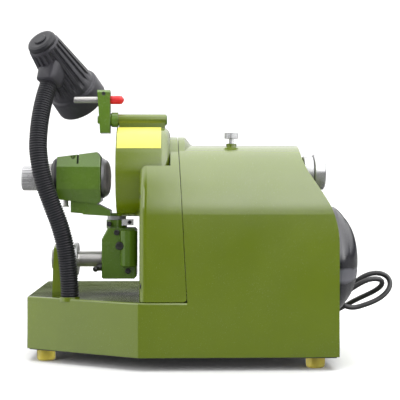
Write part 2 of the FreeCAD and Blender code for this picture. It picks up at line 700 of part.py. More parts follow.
# ---------------------------------------------------------------- electrics on the operator's side
START_X = 82
STOP_X = 112
switch_face = cut(
    softened(block(62, 132, base_far, base_far + 2, PANEL_Z - 20, PANEL_Z + 20), 4,
             lambda p, e: len(e.Vertexes) == 2 and abs(
                 (e.Vertexes[1].Point - e.Vertexes[0].Point).normalize().y) > 0.9),
    rod(8 + run, 10, "Y", START_X, base_far - 4, PANEL_Z),
    rod(10 + run, 10, "Y", STOP_X, base_far - 4, PANEL_Z))
switch_body = cut(
    block(70, 126, base_far - 34, base_far, PANEL_Z - 14, PANEL_Z + 14),
    rod(8 + run, 30, "Y", START_X, base_far - 16, PANEL_Z),
    rod(10 + run, 30, "Y", STOP_X, base_far - 16, PANEL_Z))
node("switch_unit", fuse(switch_face, switch_body))
for name, x, radius in (("start_button", START_X, 8), ("stop_button", STOP_X, 10)):
    node(name, turned("Y", [
        (-9, 0), (8.5, 0), (7.5, radius - 2), (6.5, radius), (-9, radius)], x, base_far, PANEL_Z))
CAP_Y = 130
CAP_Z = floor_z - 17.5
node("capacitor", rod(17.5, 70, "X", -60, CAP_Y, CAP_Z))
node("cord_gland", turned("X", [
    (base_right - wall - 3, CORD_R + 0.1), (175, CORD_R + 0.1), (175, 6), (167, 8.5),
    (base_right, 8.5), (base_right, 6.5), (base_right - wall, 6.5),
    (base_right - wall - 3, 6.5)], 0, CORD_Y, CORD_Z))


def swept(points, radius, first):
    """A round cord along a smooth path that sets out square to its first face."""
    curve = Part.BSplineCurve()
    curve.interpolate([V(*point) for point in points])
    wire = Part.Wire([curve.toShape()])
    disc = Part.Face(Part.Wire([Part.makeCircle(radius, V(*points[0]), first)]))
    piece = doc.addObject("Part::Feature", fresh("swept"))
    piece.Shape = wire.makePipe(disc)
    piece.Placement = FreeCAD.Placement()
    return piece


PLUG_X = 182
cord_path = [
    *[(x, CORD_Y, CORD_Z) for x in (150, 155, 160, 165, 170, 175)],
    (182, CORD_Y - 0.6, CORD_Z + 1.6), (194, 108, 68),
    (210, 100, 83), (224, 96, 94.5), (238, 95, 100), (250, 94, 99.8), (258.6, 92, 95), (261, 88, 86.5),
    (256, 84, 76.5), (243, 81, 66.5), (224, 79, 59), (204, 78, 56), (193, 74, 63), (196, 70, 74),
    (208, 68, 84), (221, 67, 91.5), (234, 68, 95), (244, 71, 93.5), (248, 78, 88), (245, 88, 80.5),
    (234, 101, 71.5), (216, 116, 60), (199, 134, 47), (187, 152, 39), (PLUG_X, 168, 36), (PLUG_X, 186, 36)]
plug_pins = [rod(2.2, 18, "Y", PLUG_X + s, 214, 36) for s in (-9, 9)]
node("power_cord", fuse(
    swept(cord_path, CORD_R, V(1, 0, 0)),
    turned("Y", [(180, 0), (180, 5), (192, 8), (194, 15), (214, 15), (214, 0)], PLUG_X, 0, 36),
    *plug_pins))

# ---------------------------------------------------------------- swing rod, arm and swivel
node("swing_rod", turned("X", [
    (PED_L - 3, 0), (-83, 0), (-83, 9), (-84, rod_r), (PED_L - run, rod_r), (PED_L - run, 13),
    (PED_L - 2.4, 13), (PED_L - 3, 12)], 0, rod_y, rod_z))
COLLAR_R = 21
collar_notches = [
    (COLLAR_R * c, COLLAR_R * s) for c, s in around(36, lambda c, s: (c, s))]
node("rod_dial", cut(
    turned("X", [(PED_R + run, rod_r), (-154.5, rod_r), (-154.5, COLLAR_R - 1), (-155.5, COLLAR_R),
                 (PED_R + run + 0.6, COLLAR_R), (PED_R + run, COLLAR_R - 0.6)], 0, rod_y, rod_z),
    *[rod(0.35, 8, "X", -156.5, rod_y + y, rod_z + z) for y, z in collar_notches]))
arm_side = slab("XZ_Plane", [
    (arm_left + 2, 104), (arm_left + 4, 102), (arm_right - 3, 102), (arm_right, 105),
    (arm_right, arm_top - 3), (arm_right - 3, arm_top), (arm_left + 9.5, arm_top),
    (arm_left + 2, arm_top - 14)], 44, 0, rod_y - 22, 0)
arm_boss = turned("Z", [
    (118, 0), (arm_top - 2, 0), (arm_top - 2, 9.5), (arm_top - 3.5, 11), (119, 11), (118, 10)],
    -90, rod_y - 22, 0)
RING_R = 13.2
lock_ring = rod(RING_R, 11, "Z", swivel_x, rod_y, arm_top - 1)
LOCK_SCREW_X = -115
LOCK_UP = 5
CLAMP_Z = 116
node("swing_arm", cut(
    fuse(softened(arm_side, 2, lambda p, e: abs(abs(p.y - 20) - 22) < 0.1 and p.z < 163),
         arm_boss, lock_ring),
    rod(rod_r + run, 80, "X", arm_left - 10, rod_y, rod_z),
    rod(8 + run, 50, "Z", swivel_x, rod_y, 144),
    rod(2, 30, "Y", LOCK_SCREW_X, rod_y - 30, arm_top + LOCK_UP),
    rod(5.2, 12, "Y", -101, -14.4, 144),
    rod(2.5, 24, "Y", -101, -14, 144),
    rod(2.2, 20, "Y", -91, -14, 112),
    rod(2.2, 20, "Y", -105, -14, 160.5),
    rod(2.2, 24, "X", arm_left - 4, 6, CLAMP_Z)))
arm_screws = [
    screw("Y", -101, -2.4, 144, 2.5, 12.4, 5.2, 9),
    screw("Y", -91, -2, 112, 2.2, 8, 3.4, 2.6),
    screw("Y", -105, -2, 160.5, 2.2, 8, 3.6, 2.6)]
node("arm_clamp_lever", fuse(
    rod(2.2, 14, "X", -128, 6, CLAMP_Z),
    turned("X", [(-131, 0), (-124.2, 0), (-124.2, 4.4), (-130, 4.4), (-131, 3.6)], 0, 6, CLAMP_Z),
    rod(1.8, 11, V(-0.25, -0.95, -0.1), -128.5, 6, CLAMP_Z),
    ball(3.6, -131.2, -5, CLAMP_Z - 1.2)))
arm_screws.append(turned("Y", [
    (-17, 0), (-7, 0), (-7, 2), (-12.4, 2), (-12.4, 3.2), (-16.3, 3.2), (-17, 2.6)],
    LOCK_SCREW_X, rod_y, arm_top + LOCK_UP))
node("vernier_plate", cut(
    slab("XY_Plane", [(7, -12.4), (22, -12.4), (22, -10.6), (7, -10.6)], 8, swivel_x,
         rod_y, arm_top + 3),
    rod(RING_R, 20, "Z", swivel_x, rod_y, arm_top),
    rod(1.6, 20, "Y", swivel_x + 17, 0, arm_top + 7)))
arm_screws.append(screw("Y", swivel_x + 17, rod_y - 12.4, arm_top + 7, 1.6, 1.8, 2.4, 1.4))
node("arm_screws", group(*arm_screws))
RING_TOP = 181
swivel_post = turned("Z", [
    (146, 0), (RING_TOP, 0), (RING_TOP, 8), (147, 8), (146, 7)],
    swivel_x, rod_y, 0)
scale_ring = ring("Z", 8, RING_R - 1.2, arm_top + 10 + run, RING_TOP, swivel_x, rod_y, 0)
scale_cuts = around(36, lambda c, s: rod(
    0.3, 4, "Z", swivel_x + (RING_R - 1.2) * c, rod_y + (RING_R - 1.2) * s, arm_top + 9.5))
node("graduated_ring", cut(scale_ring, *scale_cuts))

# ---------------------------------------------------------------- work head
BRACKET_L = -163


def head_floor(x):
    """Height of the work head's sloping underside."""
    return head_z - 26.7 - (x - head_left) * 0.118


bracket = slab("XZ_Plane", [
    (BRACKET_L, 185.7), (-148, 184.4), (-148, 183.2), (-113, RING_TOP), (-113, 188),
    (-130, head_floor(-130)), (BRACKET_L, head_floor(BRACKET_L))], 40, 0, rod_y - 20, 0)
tongue = block(-120, -104.8, rod_y - 8.5, rod_y + 8.5, RING_TOP, RING_TOP + 3.6)
node("head_bracket", cut(
    fuse(bracket, tongue,
         swivel_post),
    *[rod(2.6, 30, "Z", x, rod_y, 180) for x in (-152, -136)],
    *[rod(4.6, 11, "Z", x, rod_y, 180) for x in (-152, -136)]))
END = head_left
body_side = slab("XZ_Plane", [
    (END, head_floor(END)), (-130, head_floor(-130)), (head_right, head_z - 29), (head_right, head_z + 26),
    (-130, head_z + 33.3), (END, head_z + 26.7)], 80, 0, rod_y - 40, 0)
body_end = slab("YZ_Plane", [
    (-20, -40), (20, -40), (27, -14), (27, 14), (13, 36), (-13, 36), (-27, 14), (-27, -14)],
    80, -190, rod_y, head_z)
head_body = softened(common(body_side, body_end), 1.5, lambda p, e: p.z > 205 and p.x > -179.9)
bore_r = 16
node("work_head_body", cut(
    head_body,
    rod(bore_r + run, 100, "X", -200, rod_y, head_z),
    rod(23.2, 17, "X", END - 1, rod_y, head_z),
    rod(3.2 + run, 40, "Z", -171, rod_y, 190),
    block(-155.2, -152.8, rod_y - 40, rod_y + 40, head_z + 18, head_z + 50),
    rod(2.5, 30, "Z", -152, rod_y, 186), rod(2.5, 24, "Z", -136, rod_y, 186),
    rod(3.5, 12, "Z", -160, rod_y - 17, head_z + 18),
    rod(3.5, 12, "Z", -160, rod_y + 17, head_z + 18)))
node("head_screws", group(
    screw("Z", -152, rod_y, 191, 2.5, 17, 4.4, 4), screw("Z", -136, rod_y, 191, 2.5, 14, 4.4, 4)))
node("head_rear_cap", turned("X", [
    (-186.5, bore_r + 1), (END, bore_r + 1), (END, 25.5), (-183.5, 25.5), (-186.5, 22.5)],
    0, rod_y, head_z))
work_spindle = turned("X", [
    (-192, 9.5), (-141, 9.5), (-117, 13), (-117, 15.2), (-124.4, 15.2), (-124.4, bore_r),
    (-165, bore_r), (-165, 23), (-178, 23), (-178, bore_r), (-188, bore_r), (-188, 19),
    (-192, 19)], 0, rod_y, head_z)
index_holes = around(24, lambda c, s: rod(
    2.1, 6, V(0, c, s), -171, rod_y + 17.6 * c, head_z + 17.6 * s), -math.pi / 2)
node("work_spindle", cut(work_spindle, *index_holes))
node("index_pin", turned("Z", [
    (192.5, 0), (210.5, 0), (210.4, 1.6), (209.6, 2), (205, 2), (205, 3.2), (194, 3.2),
    (194, 4.6), (193, 4.6), (192.5, 4)], -171, rod_y, 0))
COLLET_R = 6
node("collet", cut(
    turned("X", [
        (-139, COLLET_R), (-113.5, COLLET_R), (-113.5, 11), (-116, 12.5), (-118, 12.6),
        (-139, 9.6)], 0, rod_y, head_z),
    block(-130, -110, rod_y - 0.5, rod_y + 0.5, head_z + 3, head_z + 20)))
node("collet_nut", turned("X", [
    (-124.4, 15.2), (-116.9, 15.2), (-116.9, 13.2), (-114.2, 12), (-114.2, 15), (-115.6, 19.5),
    (-118.2, 23), (-121.2, 24.4), (-122, 24.4), (-122, 25.6), (-124.4, 25.6)], 0, rod_y, head_z))
drawbar = ring("X", COLLET_R + 0.2, 8.2, -200, -139, 0, rod_y, head_z)
knob = turned("X", [
    (-226, COLLET_R + 0.2), (-200, COLLET_R + 0.2), (-200, 8.2), (-196, 8.2), (-196, 12),
    (-203, 12), (-204, 15.7), (-224.5, 15.7), (-226, 14.2)], 0, rod_y, head_z)
node("drawbar", fuse(drawbar, cut(knob, *around(
    20, lambda c, s: rod(1, 24, "X", -227, rod_y + 16.2 * c, head_z + 16.2 * s)))))

# ---------------------------------------------------------------- lamp
neck_path = [
    (neck_x.value, neck_y.value, 77), (-161.6, -24, 89), (-162.3, -24, 101),
    (-164, -24, 120), (-167.4, -24, 145), (-174, -24, 170),
    (-183.3, -24, 195), (-192.3, -24, 220), (-198.4, -23.4, 245), (-200.6, -19.3, 270),
    (-198.4, -11.4, 300), (-193.3, -0.8, 330), (-187.6, 10, 355)]
node("lamp_gooseneck", swept(neck_path, neck_r.value, V(0, 0, 1)))
aim = V(0.42, 0.642, -0.641).normalize()
LAMP_X = -198
LAMP_Y = 0
LAMP_Z = 398.3


def on_lamp(obj):
    """Stand a lamp piece, drawn from its back cap along +Z, in its place."""
    obj.Placement = FreeCAD.Placement(V(LAMP_X, LAMP_Y, LAMP_Z), FreeCAD.Rotation(V(0, 0, 1), aim))
    return obj


def lamp_turned(outline):
    body = turned("Z", outline)
    for prop in ("x", "y", "z"):
        body.setExpression("Placement.Base." + prop, None)
    return on_lamp(body)


neck_aim = V(0.24, 0.36, 0.9).normalize()
shell = lamp_turned([
    (0, 0), (0, 19.9), (75, 30), (80, 30.5), (81, lamp_r - 0.7), (103, lamp_r), (104, lamp_r - 1),
    (104, 0)])
shell_room = lamp_turned([
    (2, 0), (2, 17), (72, 26.5), (82, 31), (105, 31), (105, 0)])
socket = rod(13.8, 16, neck_aim, -189, 7.6, 348.6)
node("lamp_shell", cut(
    fuse(shell, socket), shell_room,
    cone(neck_r + 1.6, neck_r + 0.7, 14, neck_aim, -190.2, 5.8, 343.9)))
node("lamp_back_cap", lamp_turned([
    (0, 8.1), (0, 19), (-3, 19), (-5.5, 17.5), (-6.5, 14), (-6.5, 8.1)]))
node("lamp_switch", lamp_turned([
    (-2, 0), (-2, 8), (-7.5, 8), (-8.5, 7), (-8.5, 0)]))
node("lamp_reflector", lamp_turned([
    (49, 10), (50, 9), (66, 17), (96, 27.5), (99, 28), (99, 30), (95, 30), (65, 18)]))
node("lamp_bulb", lamp_turned([
    (2, 0), (2, 12), (20, 12), (22, 9), (50, 9), (56, 11), (67, 14), (77, 9.5), (81, 0)]))

# ---------------------------------------------------------------- write the pieces
doc.recompute()
for obj in doc.Objects:
    if "Invalid" in obj.State or "Error" in obj.State:
        raise RuntimeError("%s (%s) is %s" % (obj.Name, obj.Label, obj.State))
os.makedirs("parts", exist_ok=True)
for name, obj in parts.items():
    shape = obj.Shape
    if shape.isNull() or not shape.isValid() or not shape.Solids:
        raise RuntimeError("%s has no valid solid" % name)
    shape.exportStep("parts/%s.step" % name)
    print(name, len(shape.Solids), round(shape.Volume), shape.BoundBox)
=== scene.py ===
import bpy
import bmesh
import json
import math
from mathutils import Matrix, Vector


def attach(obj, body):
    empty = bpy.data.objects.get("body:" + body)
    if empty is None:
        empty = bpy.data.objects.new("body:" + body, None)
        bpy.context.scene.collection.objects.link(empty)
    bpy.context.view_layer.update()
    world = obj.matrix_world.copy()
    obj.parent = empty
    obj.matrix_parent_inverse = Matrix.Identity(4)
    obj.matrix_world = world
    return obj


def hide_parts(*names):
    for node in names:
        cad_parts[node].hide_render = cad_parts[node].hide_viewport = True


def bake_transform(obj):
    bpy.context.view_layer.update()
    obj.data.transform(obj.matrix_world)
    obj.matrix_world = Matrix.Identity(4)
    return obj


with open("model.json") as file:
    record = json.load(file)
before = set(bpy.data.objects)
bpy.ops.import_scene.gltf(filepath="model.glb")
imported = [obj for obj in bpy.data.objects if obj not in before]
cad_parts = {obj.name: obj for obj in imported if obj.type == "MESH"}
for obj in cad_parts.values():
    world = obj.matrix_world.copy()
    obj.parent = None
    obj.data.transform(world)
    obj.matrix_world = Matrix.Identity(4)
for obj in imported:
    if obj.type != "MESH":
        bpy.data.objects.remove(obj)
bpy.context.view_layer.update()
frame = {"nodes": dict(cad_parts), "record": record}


MM = 0.001
SHIFT = Vector((-0.138, 0.058, 0))    # from under the grinding spindle to the frame's origin


def at(x, y, z):
    """A place given in mm from the point on the bench under the grinding spindle."""
    return Vector((x, y, z)) * MM + SHIFT


# ------------------------------------------------------------------ materials

COWL_FOOT = 0.055           # heights between which the cowl's colour carries its painted reflection bands
COWL_TOP = 0.195
BEVEL_SAMPLES = 4
METALNESS = 0.78            # a little short of one, for a film of oil and dust
PEEL_DEPTH = 0.00006        # orange peel in the enamel
WAVE_DEPTH = 0.0006         # slow unevenness of the casting under it
FLAT_COSINE = 0.98          # a corner's rounded normal leans this little on a flat
CORNER_COSINE = 0.85        # and this much on a full corner


class Nodes:
    """Short calls for building a material's node tree."""

    def __init__(self, name):
        self.mat = bpy.data.materials.new(name)
        self.mat.use_nodes = True
        self.tree = self.mat.node_tree
        self.tree.nodes.clear()
        self.out = self.tree.nodes.new("ShaderNodeOutputMaterial")
        self.bsdf = self.tree.nodes.new("ShaderNodeBsdfPrincipled")
        self.link(self.bsdf.outputs[0], self.out.inputs[0])
        coords = self.tree.nodes.new("ShaderNodeTexCoord")
        self.where = coords.outputs["Object"]

    def link(self, a, b):
        """Join an output to an input."""
        self.tree.links.new(a, b)

    def put(self, socket, value):
        """Feed an input from another node, or set it to a plain value."""
        if isinstance(value, bpy.types.NodeSocket):
            self.link(value, socket)
        else:
            socket.default_value = value

    def stretch(self, scale):
        """Object coordinates scaled along each axis, for directional marks."""
        node = self.tree.nodes.new("ShaderNodeMapping")
        node.inputs["Scale"].default_value = scale
        self.link(self.where, node.inputs["Vector"])
        return node.outputs[0]

    def noise(self, scale, detail=4.0, rough=0.5, where=None):
        """Cloudy values; a scale of 1000 gives millimetre grains."""
        node = self.tree.nodes.new("ShaderNodeTexNoise")
        self.link(where or self.where, node.inputs["Vector"])
        node.inputs["Scale"].default_value = scale
        node.inputs["Detail"].default_value = detail
        node.inputs["Roughness"].default_value = rough
        return node.outputs["Fac"]

    def ramp(self, fac, stops):
        """Colours laid out along a value from nought to one."""
        node = self.tree.nodes.new("ShaderNodeValToRGB")
        self.link(fac, node.inputs[0])
        elements = node.color_ramp.elements
        while len(elements) < len(stops):
            elements.new(0.5)
        for element, (place, value) in zip(elements, stops):
            element.position = place
            element.color = value if len(value) == 4 else (*value, 1)
        return node.outputs[0]

    def span(self, fac, low, high, to_low=0.0, to_high=1.0):
        """One range of values mapped onto another and held at its ends."""
        node = self.tree.nodes.new("ShaderNodeMapRange")
        self.link(fac, node.inputs[0])
        for index, value in enumerate((low, high, to_low, to_high), 1):
            node.inputs[index].default_value = value
        return node.outputs[0]

    def mix(self, fac, a, b):
        """Blend from colour a to colour b."""
        node = self.tree.nodes.new("ShaderNodeMix")
        node.data_type = "RGBA"
        self.put(node.inputs[0], fac)
        for socket, value in ((node.inputs[6], a), (node.inputs[7], b)):
            self.put(socket, value if isinstance(value, bpy.types.NodeSocket) else (*value, 1))
        return node.outputs[2]

    def maths(self, kind, a, b=0.0):
        """One sum on two values."""
        node = self.tree.nodes.new("ShaderNodeMath")
        node.operation = kind
        self.put(node.inputs[0], a)
        self.put(node.inputs[1], b)
        return node.outputs[0]

    def rounded(self, radius):
        """A normal that rounds off corners by the radius."""
        node = self.tree.nodes.new("ShaderNodeBevel")
        node.samples = BEVEL_SAMPLES
        node.inputs["Radius"].default_value = radius
        return node.outputs[0]

    def edge(self, radius):
        """One on corners and nought on flats."""
        soft = self.rounded(radius)
        geometry = self.tree.nodes.new("ShaderNodeNewGeometry")
        dot = self.tree.nodes.new("ShaderNodeVectorMath")
        dot.operation = "DOT_PRODUCT"
        self.link(soft, dot.inputs[0])
        self.link(geometry.outputs["Normal"], dot.inputs[1])
        return self.span(dot.outputs["Value"], FLAT_COSINE, CORNER_COSINE)

    def bump(self, height, distance, strength=1.0, normal=None):
        """A normal that follows fine relief of the given depth."""
        node = self.tree.nodes.new("ShaderNodeBump")
        node.inputs["Distance"].default_value = distance
        node.inputs["Strength"].default_value = strength
        self.link(height, node.inputs["Height"])
        if normal is not None:
            self.link(normal, node.inputs["Normal"])
        return node.outputs[0]

    def set(self, **values):
        """Fill in the surface shader and give back the finished material."""
        for name, value in values.items():
            socket = self.bsdf.inputs[name.replace("_", " ")]
            if isinstance(value, tuple) and len(value) == 3 and socket.type == "RGBA":
                value = (*value, 1)
            self.put(socket, value)
        return self.mat


def paint(name, colour, dark, worn, rough=0.16, round_r=0.0008):
    """Glossy enamel over a casting: orange peel, cloudy tint, chipped and dusty corners."""
    n = Nodes(name)
    chip_share = 0.5
    coat, coat_roughness = 0.6, 0.06
    cloud = n.noise(9, 5, 0.6)
    tint = n.mix(n.span(cloud, 0.3, 0.7), colour, dark)
    grit = n.noise(900, 2)
    wear = n.maths("MULTIPLY", n.edge(round_r), n.span(n.noise(160, 6, 0.7), 0.52, 0.64))
    tint = n.mix(n.maths("MULTIPLY", wear, chip_share), tint, worn)
    peel = n.bump(n.noise(260, 2, 0.4), PEEL_DEPTH, 0.5, n.rounded(round_r))
    waves = n.bump(n.noise(22, 3, 0.5), WAVE_DEPTH, 0.35, peel)
    shine = n.span(n.noise(14, 6, 0.65), 0.35, 0.75, rough * 0.8, rough * 1.7)
    shine = n.maths("ADD", shine, n.maths("MULTIPLY", n.span(grit, 0.62, 0.7), 0.12))
    return n.set(Base_Color=tint, Roughness=shine, Normal=waves,
                 Coat_Weight=coat, Coat_Roughness=coat_roughness)


def metal(name, colour, rough, stretch=(1, 1, 1), grain=900, spots=0.3, round_r=0.0003,
          depth=0.00003):
    """Machined metal with directional marks, smudges and bright corners."""
    n = Nodes(name)
    lines = n.noise(grain, 3, 0.6, n.stretch(stretch))
    smudge = n.noise(30, 6, 0.65)
    tint = n.mix(n.span(smudge, 0.4, 0.75), colour, tuple(c * (1 - spots) for c in colour))
    bright = tuple(min(1, c * 1.25) for c in colour)
    tint = n.mix(n.maths("MULTIPLY", n.edge(round_r), 0.5), tint, bright)
    shine = n.maths("ADD", n.span(lines, 0.3, 0.7, rough * 0.7, rough * 1.4),
                    n.span(smudge, 0.45, 0.8, 0, 0.18))
    face = n.bump(lines, depth, 0.6, n.rounded(round_r))
    return n.set(Base_Color=tint, Metallic=METALNESS, Roughness=shine, Normal=face)


def plastic(name, colour, rough, grain=1400, depth=0.00008, round_r=0.0005, **more):
    """Moulded plastic or rubber: fine spark texture, scuffs and pale corners."""
    n = Nodes(name)
    scuff = n.noise(60, 7, 0.7)
    scuffed = tuple(min(1, c * 1.5 + 0.01) for c in colour)
    pale = tuple(min(1, c * 2 + 0.03) for c in colour)
    tint = n.mix(n.span(scuff, 0.55, 0.8), colour, scuffed)
    tint = n.mix(n.maths("MULTIPLY", n.edge(round_r), 0.35), tint, pale)
    face = n.bump(n.noise(grain, 2, 0.5), depth, 0.6, n.rounded(round_r))
    shine = n.span(n.noise(35, 5, 0.6), 0.3, 0.75, rough * 0.85, min(1, rough * 1.25))
    return n.set(Base_Color=tint, Roughness=shine, Normal=face, **more)


def cowl_plastic():
    """Glossy black moulding; level bands of painted reflection of the room, lighter and darker by
    height, are laid into its colour.
    """
    n = Nodes("cowl_plastic")
    split = n.tree.nodes.new("ShaderNodeSeparateXYZ")
    n.link(n.where, split.inputs[0])
    drift = n.span(n.noise(25, 3), 0.3, 0.7, -0.002, 0.002)
    height = n.span(n.maths("ADD", split.outputs["Z"], drift), COWL_FOOT, COWL_TOP)
    # painted reflection: light and dark level bands in the base colour, set by height between
    # COWL_FOOT and COWL_TOP
    tint = n.ramp(height, [
        (0.0, (0.010, 0.010, 0.012)), (0.32, (0.020, 0.020, 0.024)), (0.36, (0.120, 0.120, 0.138)),
        (0.44, (0.100, 0.100, 0.116)), (0.46, (0.012, 0.012, 0.015)), (0.56, (0.018, 0.018, 0.023)),
        (0.60, (0.036, 0.036, 0.044)), (0.90, (0.026, 0.026, 0.032)), (1.0, (0.006, 0.006, 0.008))])
    face = n.bump(n.noise(700, 2), 0.00002, 0.5, n.rounded(0.0008))
    shine = n.span(n.noise(30, 5, 0.6), 0.3, 0.75, 0.12, 0.22)
    return n.set(Base_Color=tint, Roughness=shine, Normal=face)


OLIVE = (0.106, 0.150, 0.002)
OLIVE_DARK = (0.092, 0.132, 0.002)
GRASS = (0.080, 0.158, 0.006)
GRASS_DARK = (0.054, 0.115, 0.005)
WORN = (0.32, 0.36, 0.16)

mats = {
    "olive_paint": paint("olive_paint", OLIVE, OLIVE_DARK, WORN),
    "arm_paint": paint("arm_paint", GRASS, GRASS_DARK, WORN, 0.22),
    "dark_steel": metal("dark_steel", (0.20, 0.20, 0.21), 0.3, (1, 6, 6)),
    "steel": metal("steel", (0.42, 0.41, 0.40), 0.32, (1, 1, 8)),
    "chrome": metal("chrome", (0.47, 0.47, 0.48), 0.24, grain=2400, spots=0.1, depth=0.000004),
    "aluminium": metal("aluminium", (0.46, 0.46, 0.47), 0.36, (6, 1, 1)),
    "black_steel": metal("black_steel", (0.05, 0.05, 0.05), 0.35),
    "black_plastic": plastic("black_plastic", (0.016, 0.016, 0.019), 0.36, Specular_IOR_Level=0.22),
    "grey_plastic": plastic("grey_plastic", (0.030, 0.029, 0.035), 0.34, Specular_IOR_Level=0.25),
    "cowl_plastic": cowl_plastic(),
    "rubber": plastic("rubber", (0.010, 0.010, 0.011), 0.5),
    "amber_rubber": plastic(
        "amber_rubber", (0.85, 0.70, 0.10), 0.12, depth=0.00002, Transmission_Weight=0.6, IOR=1.45),
    "label_yellow": plastic("label_yellow", (0.80, 0.72, 0.10), 0.4, round_r=0.0001),
    "red_plastic": plastic("red_plastic", (0.55, 0.006, 0.008), 0.3),
    "green_plastic": plastic("green_plastic", (0.02, 0.30, 0.06), 0.3),
    "abrasive": plastic("abrasive", (0.72, 0.68, 0.62), 0.9, grain=1800, depth=0.0006),
    "mirror_bowl": metal("mirror_bowl", (0.9, 0.9, 0.9), 0.05, grain=200, spots=0.05),
    "bulb_glass": plastic("bulb_glass", (0.9, 0.9, 0.88), 0.2, Transmission_Weight=0.3),
    "tinted_plate": metal("tinted_plate", (0.78, 0.78, 0.78), 0.25, (1, 8, 1)),
}
slots = {part["node"]: part["material_slot"] for part in frame["record"]["subparts"]}
for name, obj in frame["nodes"].items():
    obj.data.materials.clear()
    obj.data.materials.append(mats["cowl_plastic" if name == "motor_cowl" else slots[name]])

# ------------------------------------------------------------------ own pieces


def new_piece(name, points, faces, mat, body=None, sharp=35):
    """A mesh piece with smooth shading and crisp corners."""
    mesh = bpy.data.meshes.new(name)
    mesh.from_pydata([tuple(p) for p in points], [], faces)
    work = bmesh.new()
    work.from_mesh(mesh)
    bmesh.ops.recalc_face_normals(work, faces=work.faces)
    work.to_mesh(mesh)
    work.free()
    for polygon in mesh.polygons:
        polygon.use_smooth = True
    mesh.set_sharp_from_angle(angle=math.radians(sharp))
    obj = bpy.data.objects.new(name, mesh)
    bpy.context.scene.collection.objects.link(obj)
    mesh.materials.append(mats[mat])
    if body:
        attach(obj, body)
    return obj


def skin(rings, closed=False):
    """Points and faces of a tube through rings of equal size; open ends are capped."""
    count = len(rings[0])
    points = [p for ring in rings for p in ring]
    faces = []
    last = len(rings) if closed else len(rings) - 1
    for i in range(last):
        low = i * count
        high = (i + 1) % len(rings) * count
        for k in range(count):
            after = (k + 1) % count
            faces.append((low + k, low + after, high + after, high + k))
    if not closed:
        faces.append(tuple(reversed(range(count))))
        faces.append(tuple(range((len(rings) - 1) * count, len(rings) * count)))
    return points, faces


CURVE_STEPS = 24            # short chords between two stops of a curve


def smooth_path(stops, step):
    """Evenly spaced points on a curve through the stops."""
    dense = []
    for i in range(len(stops) - 1):
        p0 = stops[max(i - 1, 0)]
        p1, p2 = stops[i], stops[i + 1]
        p3 = stops[min(i + 2, len(stops) - 1)]
        for k in range(CURVE_STEPS):
            t = k / CURVE_STEPS
            dense.append(0.5 * (2 * p1 + (p2 - p0) * t + (2 * p0 - 5 * p1 + 4 * p2 - p3) * t ** 2
                                + (3 * p1 - p0 - 3 * p2 + p3) * t ** 3))
    dense.append(stops[-1])
    path = [dense[0]]
    left = step
    for a, b in zip(dense, dense[1:]):
        length = (b - a).length
        done = 0.0
        while length - done >= left:
            done += left
            path.append(a.lerp(b, done / length))
            left = step
        left -= length - done
    return path


def frames(path):
    """A steady pair of cross directions at each point of a path."""
    side = Vector((0, 1, 0))
    result = []
    for i, point in enumerate(path):
        ahead = (path[min(i + 1, len(path) - 1)] - path[max(i - 1, 0)]).normalized()
        side = (side - ahead * side.dot(ahead)).normalized()
        result.append((point, side, ahead.cross(side)))
    return result


NECK = [at(*p) for p in (
    (-161.5, -24, 77), (-161.6, -24, 89), (-162.3, -24, 101), (-164, -24, 120), (-167.4, -24, 145),
    (-174, -24, 170), (-183.3, -24, 195), (-192.3, -24, 220), (-198.4, -23.4, 245),
    (-201.2, -19.3, 270), (-200.0, -11.4, 300), (-195.6, -0.8, 330), (-189.2, 10, 355))]
NECK_R = 11.2 * MM
RIB_PITCH = 3.1 * MM
RIB_DEPTH = 1.3 * MM
RIB_STEPS = 8
HOSE_SIDES = 48


def gooseneck():
    """Ribbed hose: round crests with narrow grooves between."""
    rings = []
    path = smooth_path(NECK, RIB_PITCH / RIB_STEPS)
    for i, (point, side, up) in enumerate(frames(path)):
        wave = 0.5 + 0.5 * math.cos(2 * math.pi * i / RIB_STEPS)
        radius = NECK_R - RIB_DEPTH * wave ** 3
        rings.append([point + (side * math.cos(a) + up * math.sin(a)) * radius
                      for a in (2 * math.pi * k / HOSE_SIDES for k in range(HOSE_SIDES))])
    hose = new_piece("gooseneck_hose", *skin(rings), "black_plastic", sharp=60)
    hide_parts("lamp_gooseneck")
    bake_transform(hose)


gooseneck()

LAMP = at(-198, 0, 398.3)             # middle of the lamp's rear end
AIM = Vector((0.42, 0.642, -0.641)).normalized()    # the way its light points
ACROSS = AIM.cross(Vector((0, 0, 1))).normalized()
ABOVE = ACROSS.cross(AIM)
FLUTES = 18
FLUTE_DEPTH = 2.7
FLUTE_RINGS = 24
LAMP_SIDES = 264


def lamp_ring(along, radius, flute=0.0):
    """Ring of the lamp shell, pressed in between the ribs by the flute depth."""
    ring = []
    for k in range(LAMP_SIDES):
        angle = 2 * math.pi * k / LAMP_SIDES
        wave = 0.5 + 0.5 * math.cos(FLUTES * angle)
        r = radius - flute * min(1, max(0, (wave - 0.4) * 4))
        spoke = ACROSS * math.cos(angle) + ABOVE * math.sin(angle)
        ring.append(LAMP + AIM * along * MM + spoke * r * MM)
    return ring


def lamp_shell():
    """Fluted cone with a stepped bell at the mouth and an inner wall."""
    rings = [lamp_ring(0.4, 8.1), lamp_ring(0.4, 18.6), lamp_ring(1.2, 19.6)]
    for step in range(FLUTE_RINGS + 1):
        along = 3 + 68 * step / FLUTE_RINGS
        fade = min(1, step / 2, (FLUTE_RINGS - step) / 3)
        rings.append(lamp_ring(along, 20.1 + 9.7 * along / 72, FLUTE_DEPTH * fade))
    rings += [lamp_ring(a, r) for a, r in (
        (74, 29.9), (76.5, 30.3), (77.4, 31.2), (78, 33.0), (79.2, 33.7), (82, 33.9), (98, 34.2),
        (102.5, 34.3), (103.6, 34.0), (104, 33.2), (103.8, 32.2), (102.5, 31.4), (82, 31),
        (72, 26.5), (2, 17), (2, 8.1))]
    shell = new_piece("lamp_housing", *skin(rings, closed=True), "grey_plastic", "lamp_head")
    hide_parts("lamp_shell")


lamp_shell()


SOCKET_SIDES = 56


